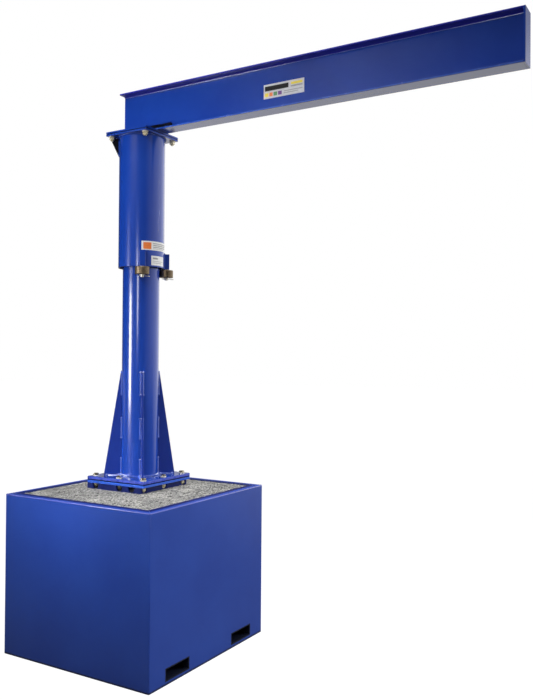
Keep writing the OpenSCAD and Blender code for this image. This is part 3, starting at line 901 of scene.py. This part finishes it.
def buildFillTop():
    low, high = boxOf("tub_wall_front", "tub_wall_rear", "tub_wall_left", "tub_wall_right")
    margin = high[1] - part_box("tub_wall_left")[0][1] - fillTop["overlap"]
    size = (high[0] - low[0] - 2 * margin, high[1] - low[1] - 2 * margin)
    edgeZ = high[2] - fillTop["recess"]
    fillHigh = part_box("concrete_fill")[1][2]
    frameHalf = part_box("anchor_frame")[1][1]
    bpy.ops.mesh.primitive_grid_add(x_subdivisions=fillTop["cells"], y_subdivisions=fillTop["cells"], size=1)
    top = named("fillTop")
    top.scale = (size[0], size[1], 1)
    top.location = (0, 0, edgeZ)
    settle(top)
    for vertex in top.data.vertices:
        shares = [max(0.0, (half - abs(c)) / (half - frameHalf))
                  for half, c in ((size[0] / 2, vertex.co.x), (size[1] / 2, vertex.co.y))]
        rise = min(1.0, *shares)
        vertex.co.z = edgeZ + rise * (fillHigh - edgeZ) + fillTop["lift"] * min(1, rise * 4)
    roughen(top, fillTop["coarse"], fillTop["coarseHigh"])
    roughen(top, fillTop["fine"], fillTop["fineHigh"])
    edit()
    bpy.ops.mesh.select_mode(type="EDGE")
    bpy.ops.mesh.select_non_manifold()
    bpy.ops.mesh.extrude_region_move(TRANSFORM_OT_translate={"value": (0, 0, -fillTop["skirt"])})
    bpy.ops.mesh.edge_face_add()
    doneEditing()
    outward(top)
    smooth(top, 180)
    dress(top, "base", "cement")


# ---- plates and stickers ----

webPlate = {"x": (0.857, 1.108), "z": (3.121, 3.1986), "thick": 0.0009, "cell": 0.0026,
            "blocks": ((0.0, 0.0, 1.0, 1.0, "labelSilver"), (0.03, 0.54, 0.62, 0.88, "labelBlack"),
                       (0.03, 0.12, 0.12, 0.40, "labelYellow"), (0.14, 0.12, 0.23, 0.40, "labelOrange"),
                       (0.25, 0.12, 0.34, 0.40, "labelGreen"), (0.36, 0.12, 0.45, 0.40, "labelPurple"),
                       (0.68, 0.70, 0.96, 0.88, "labelYellow"), (0.68, 0.54, 0.96, 0.62, "labelGrey"),
                       (0.50, 0.30, 0.96, 0.36, "labelGrey"), (0.50, 0.16, 0.86, 0.22, "labelGrey"))}
upperSticker = {"from": -50, "to": 48, "z": (2.337, 2.390), "thick": 0.0004, "cell": 0.0026,
                "blocks": ((0.0, 0.0, 1.0, 1.0, "labelWhite"), (0.04, 0.12, 0.26, 0.84, "labelOrange"),
                           (0.30, 0.70, 0.94, 0.78, "labelGrey"), (0.30, 0.52, 0.82, 0.58, "labelGrey"),
                           (0.30, 0.32, 0.90, 0.38, "labelGrey"), (0.30, 0.14, 0.70, 0.20, "labelGrey"))}
lowerSticker = {"from": -25, "to": 20, "z": (2.249, 2.305), "thick": 0.0004, "cell": 0.0026,
                "blocks": ((0.0, 0.0, 1.0, 1.0, "labelWhite"), (0.10, 0.62, 0.44, 0.82, "labelGrey"),
                           (0.10, 0.40, 0.90, 0.46, "labelGrey"), (0.10, 0.22, 0.76, 0.28, "labelGrey"))}


# Flat sheet standing in the XZ plane, its faces given to the printed blocks
def printedSheet(name, width, height, thick, cell, blocks):
    across, up = round(width / cell), round(height / cell)
    bpy.ops.mesh.primitive_grid_add(x_subdivisions=across, y_subdivisions=up, size=1)
    sheet = named(name)
    sheet.scale = (width, height, 1)
    settle(sheet)
    inks = list(dict.fromkeys(block[4] for block in blocks))
    for ink in inks:
        sheet.data.materials.append(finishes[ink])
    for face in sheet.data.polygons:
        u, v = face.center.x / width + 0.5, face.center.y / height + 0.5
        for left, bottom, right, top, ink in blocks:
            if left <= u <= right and bottom <= v <= top:
                face.material_index = inks.index(ink)
    modify(sheet, "SOLIDIFY", thickness=thick, offset=1)
    sheet.rotation_euler = (math.pi / 2, 0, 0)
    settle(sheet)
    return sheet


def buildWebPlates():
    webFace = 0.00305
    spec = webPlate
    width, height = spec["x"][1] - spec["x"][0], spec["z"][1] - spec["z"][0]
    for side, name in ((-1, "ratingPlate_right"), (1, "ratingPlate_left")):
        sheet = printedSheet(name, width, height, spec["thick"], spec["cell"], spec["blocks"])
        sheet.location = (0, -webFace, 0)
        settle(sheet)
        if side > 0:
            sheet.rotation_euler = (0, 0, math.pi)
            settle(sheet)
        sheet.location = (sum(spec["x"]) / 2, 0, sum(spec["z"]) / 2)
        settle(sheet)
        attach(sheet, "jib")


def buildStickers():
    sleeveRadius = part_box("sleeve_tube")[1][0]
    for name, spec in (("upperSticker", upperSticker), ("lowerSticker", lowerSticker)):
        sweep = math.radians(spec["to"] - spec["from"])
        width, height = sleeveRadius * sweep, spec["z"][1] - spec["z"][0]
        sheet = printedSheet(name, width, height, spec["thick"], spec["cell"], spec["blocks"])
        modify(sheet, "SIMPLE_DEFORM", deform_method="BEND", deform_axis="Z", angle=sweep)
        sheet.location = (0, -sleeveRadius, 0)
        settle(sheet)
        sheet.rotation_euler = (0, 0, math.pi / 2 + math.radians((spec["to"] + spec["from"]) / 2))
        sheet.location = (0, 0, sum(spec["z"]) / 2)
        settle(sheet)
        smooth(sheet)
        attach(sheet, "jib")


buildEased()
print("edges eased")
buildMastWelds()
buildTubWelds()
buildJibWelds()
print("welds laid")
buildBolts("baseBolts", "base_bolts", "anchor_plate", "mast_base_plate", "ring", "base")
buildBolts("headBolts", "head_bolts", "sleeve_head_plate", "boom_seat_plate", "corners", "jib")
print("bolts set")
for side in (-1, 1):
    buildRoller(side)
    buildAxle(side)
print("rollers built")
buildFillTop()
print("concrete poured")
buildWebPlates()
buildStickers()
print("plates and stickers on")


# ---- stage, light and camera ----

stage = {"floorSize": 80.0, "floorColour": tint(96, 96, 100), "floorGlow": 0.955,
         "mirrorTo": (-0.50, 0.87, 0), "mirrorNear": 1.0, "mirrorFar": 6.0, "mirrorDark": 0.06,
         "mirrorBright": 0.85}


def buildFloor():
    bpy.ops.mesh.primitive_plane_add(size=stage["floorSize"], location=(0, 0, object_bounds()[0][2] - 0.0005))
    floor = bpy.context.object
    floor.name = "floor"
    material, tree, shader = newMaterial("floor_paper")
    shader.inputs["Base Color"].default_value = stage["floorColour"]
    shader.inputs["Roughness"].default_value = 0.9
    shader.inputs["Specular IOR Level"].default_value = 0.0
    shader.inputs["Emission Color"].default_value = (1, 1, 1, 1)
    path = addNode(tree, "ShaderNodeLightPath")
    place = addNode(tree, "ShaderNodeTexCoord")
    reach = addNode(tree, "ShaderNodeVectorMath", operation="DOT_PRODUCT")
    tree.links.new(place.outputs["Object"], reach.inputs[0])
    reach.inputs[1].default_value = stage["mirrorTo"]
    mirror = level(tree, reach.outputs["Value"], stage["mirrorNear"], stage["mirrorFar"],
                   stage["mirrorDark"], stage["mirrorBright"])
    mirrored = math2(tree, "MULTIPLY", path.outputs["Is Glossy Ray"], mirror)
    seen = math2(tree, "MULTIPLY", path.outputs["Is Camera Ray"], stage["floorGlow"])
    tree.links.new(math2(tree, "MAXIMUM", seen, mirrored), shader.inputs["Emission Strength"])
    floor.data.materials.append(material)


# The room: soft light from above, a bright side, a dark side, and white where the camera looks
room = {"low": 0.06, "level": 0.09, "high": 0.70, "brightTo": (0.087, 0.996, 0.10), "bright": 1.3,
        "darkTo": (-0.98, 0.02, 0.10), "dark": 0.95}


def facing(tree, direction, aim, low, high):
    dot = addNode(tree, "ShaderNodeVectorMath", operation="DOT_PRODUCT")
    tree.links.new(direction, dot.inputs[0])
    dot.inputs[1].default_value = Vector(aim).normalized()
    return level(tree, dot.outputs["Value"], low, high, 0, 1)


def buildWorld():
    world = bpy.data.worlds.new("studio")
    bpy.context.scene.world = world
    world.use_nodes = True
    tree = world.node_tree
    path = addNode(tree, "ShaderNodeLightPath")
    place = addNode(tree, "ShaderNodeTexCoord")
    axes = addNode(tree, "ShaderNodeSeparateXYZ")
    direction = place.outputs["Generated"]
    tree.links.new(direction, axes.inputs["Vector"])
    grey = [(room[key],) * 3 for key in ("low", "level", "high")]
    sky = ramp(tree, level(tree, axes.outputs["Z"], -1, 1, 0, 1),
               [(0.42, grey[0]), (0.74, grey[1]), (0.95, grey[2])])
    shade = math2(tree, "SUBTRACT", 1.0,
                  math2(tree, "MULTIPLY", facing(tree, direction, room["darkTo"], 0.30, 0.85), room["dark"]))
    lit = math2(tree, "MULTIPLY", facing(tree, direction, room["brightTo"], -0.45, 1.0), room["bright"])
    lit = math2(tree, "MULTIPLY", lit, level(tree, axes.outputs["Z"], 0.24, 0.38, 1, 0.2))
    colour = mixColour(tree, 1.0, mixColour(tree, 1.0, sky, lit, "ADD"), shade, "MULTIPLY")
    colour = mixColour(tree, path.outputs["Is Camera Ray"], colour, (1, 1, 1, 1))
    tree.links.new(colour, tree.nodes["Background"].inputs["Color"])


lamps = {
    "key": {"at": (-1.82, -3.56, 1.80), "aim": (0, 0, 2.20), "size": (0.98, 1.20), "watts": 17,
            "spread": 74, "gloss": True},
    "halo": {"at": (-1.86, -3.64, 2.00), "aim": (0, 0, 2.20), "size": (0.9, 2.4), "watts": 3,
             "spread": 110, "gloss": True},
    "strip": {"at": (1.30, -3.60, 2.40), "aim": (0, 0, 2.3), "size": (0.32, 0.8), "watts": 14,
              "spread": 180, "gloss": True},
    "highLeft": {"at": (-0.10, -3.10, 4.20), "aim": (0.3, 0, 2.8), "size": (1.4, 1.0), "watts": 14,
                 "spread": 80, "gloss": False},
    "highRight": {"at": (5.50, 5.00, 4.00), "aim": (0.4, 0, 1.2), "size": (1.6, 1.2), "watts": 110,
                  "spread": 90, "gloss": False},
    "skirt": {"at": (-0.90, -3.00, 2.20), "aim": (-0.10, -0.55, 1.25), "size": (0.6, 0.6), "watts": 2.6,
              "spread": 40, "gloss": False},
    "foot": {"at": (2.20, -2.00, 3.00), "aim": (0.45, -0.30, 1.10), "size": (0.8, 0.8), "watts": 3,
             "spread": 50, "gloss": False},
    "low": {"at": (-0.60, -3.00, 1.04), "aim": (0.02, -0.20, 0.945), "size": (0.4, 0.4), "watts": 0.3,
            "spread": 16, "gloss": False},
    "top": {"at": (0.40, -0.40, 6.00), "aim": (0.3, 0, 0), "size": (3.0, 2.4), "watts": 50,
            "spread": 120, "gloss": True},
}


def aimed(at, aim):
    return (Vector(at) - Vector(aim)).to_track_quat("Z", "Y")


def buildLamps():
    for name, lamp in lamps.items():
        light = bpy.data.lights.new(name, "AREA")
        light.shape = "RECTANGLE"
        light.size, light.size_y = lamp["size"]
        light.spread = math.radians(lamp["spread"])
        light.energy = lamp["watts"]
        holder = bpy.data.objects.new(name, light)
        holder.location = lamp["at"]
        holder.rotation_mode = "QUATERNION"
        holder.rotation_quaternion = aimed(lamp["at"], lamp["aim"])
        holder.visible_camera = False
        holder.visible_glossy = lamp["gloss"]
        bpy.context.collection.objects.link(holder)


viewpoint = {"at": (3.0660, -3.6406, 1.7027), "yaw": 2.1107, "pitch": 0.0112, "roll": 0.0072,
             "lens": 52.70}


def buildCamera():
    yaw, pitch, roll = viewpoint["yaw"], viewpoint["pitch"], viewpoint["roll"]
    ahead = Vector((math.cos(yaw) * math.cos(pitch), math.sin(yaw) * math.cos(pitch), math.sin(pitch)))
    right = Vector((math.sin(yaw), -math.cos(yaw), 0))
    up = right.cross(ahead)
    across = right * math.cos(roll) + up * math.sin(roll)
    above = up * math.cos(roll) - right * math.sin(roll)
    camera = bpy.data.objects.new("camera", bpy.data.cameras.new("camera"))
    camera.data.sensor_fit = "HORIZONTAL"
    camera.data.sensor_width = 36
    camera.data.lens = viewpoint["lens"]
    turned = Matrix((across, above, -ahead)).transposed().to_4x4()
    camera.matrix_world = Matrix.Translation(viewpoint["at"]) @ turned
    bpy.context.collection.objects.link(camera)
    bpy.context.scene.camera = camera


buildFloor()
buildWorld()
buildLamps()
buildCamera()
bpy.context.scene.view_settings.view_transform = "Standard"
print("stage ready")
